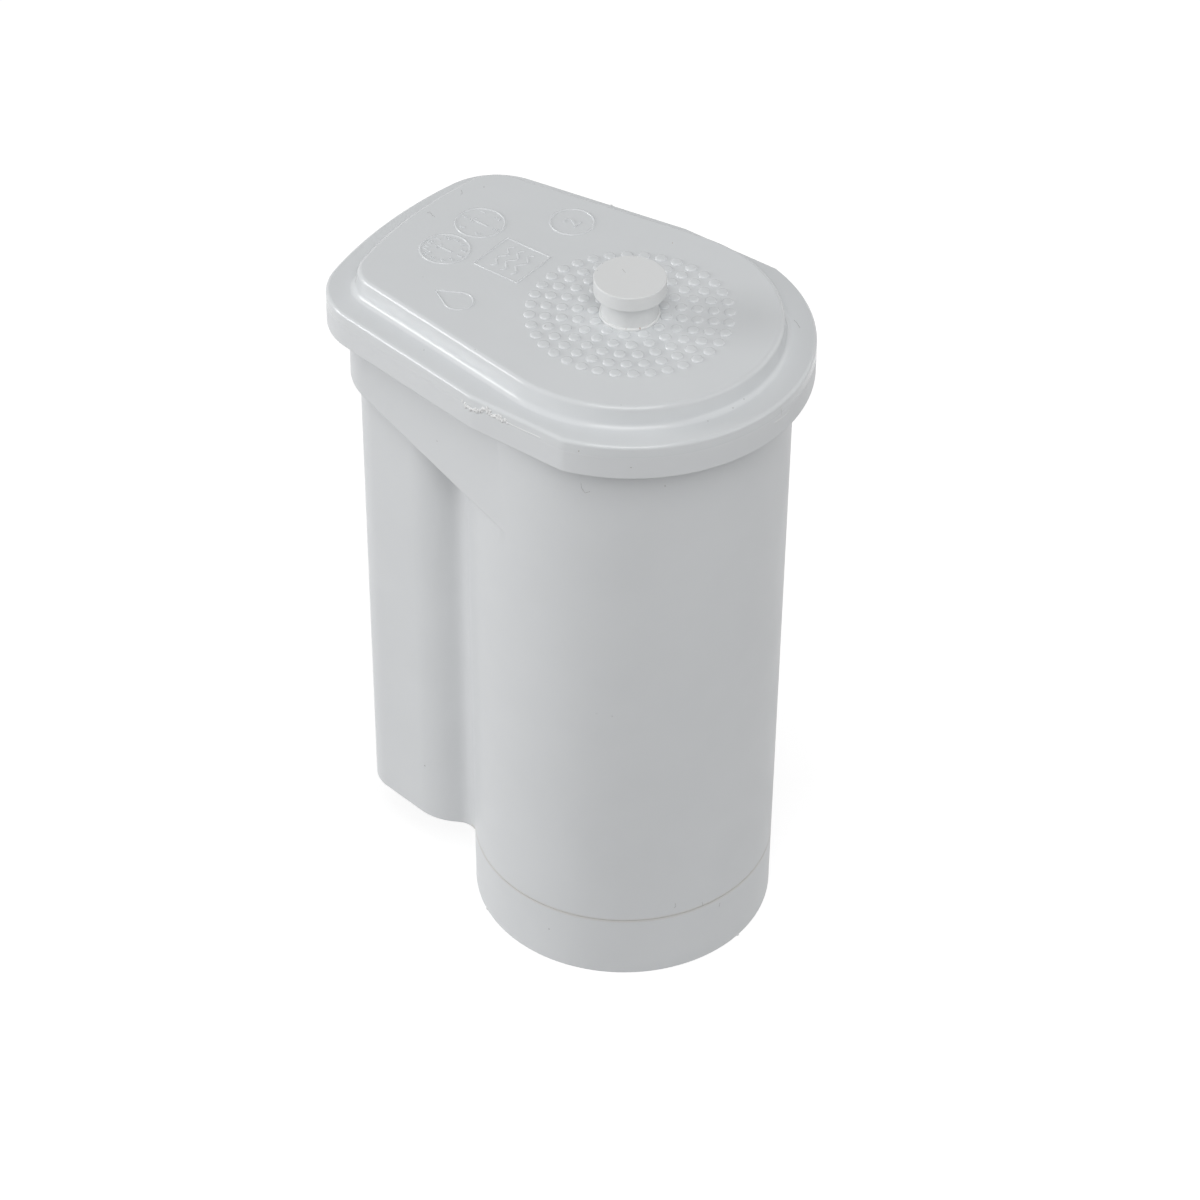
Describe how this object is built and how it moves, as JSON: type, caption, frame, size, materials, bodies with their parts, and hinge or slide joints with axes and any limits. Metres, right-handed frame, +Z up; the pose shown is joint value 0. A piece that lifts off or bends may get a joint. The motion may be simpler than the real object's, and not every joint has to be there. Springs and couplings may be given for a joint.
{
  "type": "coffee machine water filter cartridge",
  "caption": "Tank water filter cartridge: round resin cylinder with a side return channel, egg-shaped domed-grip lid and a mushroom pull knob.",
  "frame": {"origin": "axis of the cylinder at the bottom face of its foot ring", "axes": "+Z up along the cylinder, -X towards the return channel and the lid's narrow end, Y across"},
  "size_m": [0.0886, 0.0638, 0.1419],
  "materials": {
    "housing_plastic": "white, satin, fine moulded grain",
    "lid_plastic": "white, smooth, slightly glossy",
    "knob_plastic": "slightly warmer white, smooth",
    "fleece": "white felt",
    "resin": "packed amber beads",
    "seal_rubber": "dark grey, matt"
  },
  "bodies": {
    "root": {"housing": "housing_plastic", "lid": "lid_plastic", "pull_knob": "knob_plastic", "inlet_cap": "housing_plastic", "lower_fleece": "fleece", "resin_bed": "resin", "upper_fleece": "fleece", "retaining_grid": "housing_plastic", "outlet_seal": "seal_rubber"}
  },
  "joints": []
}
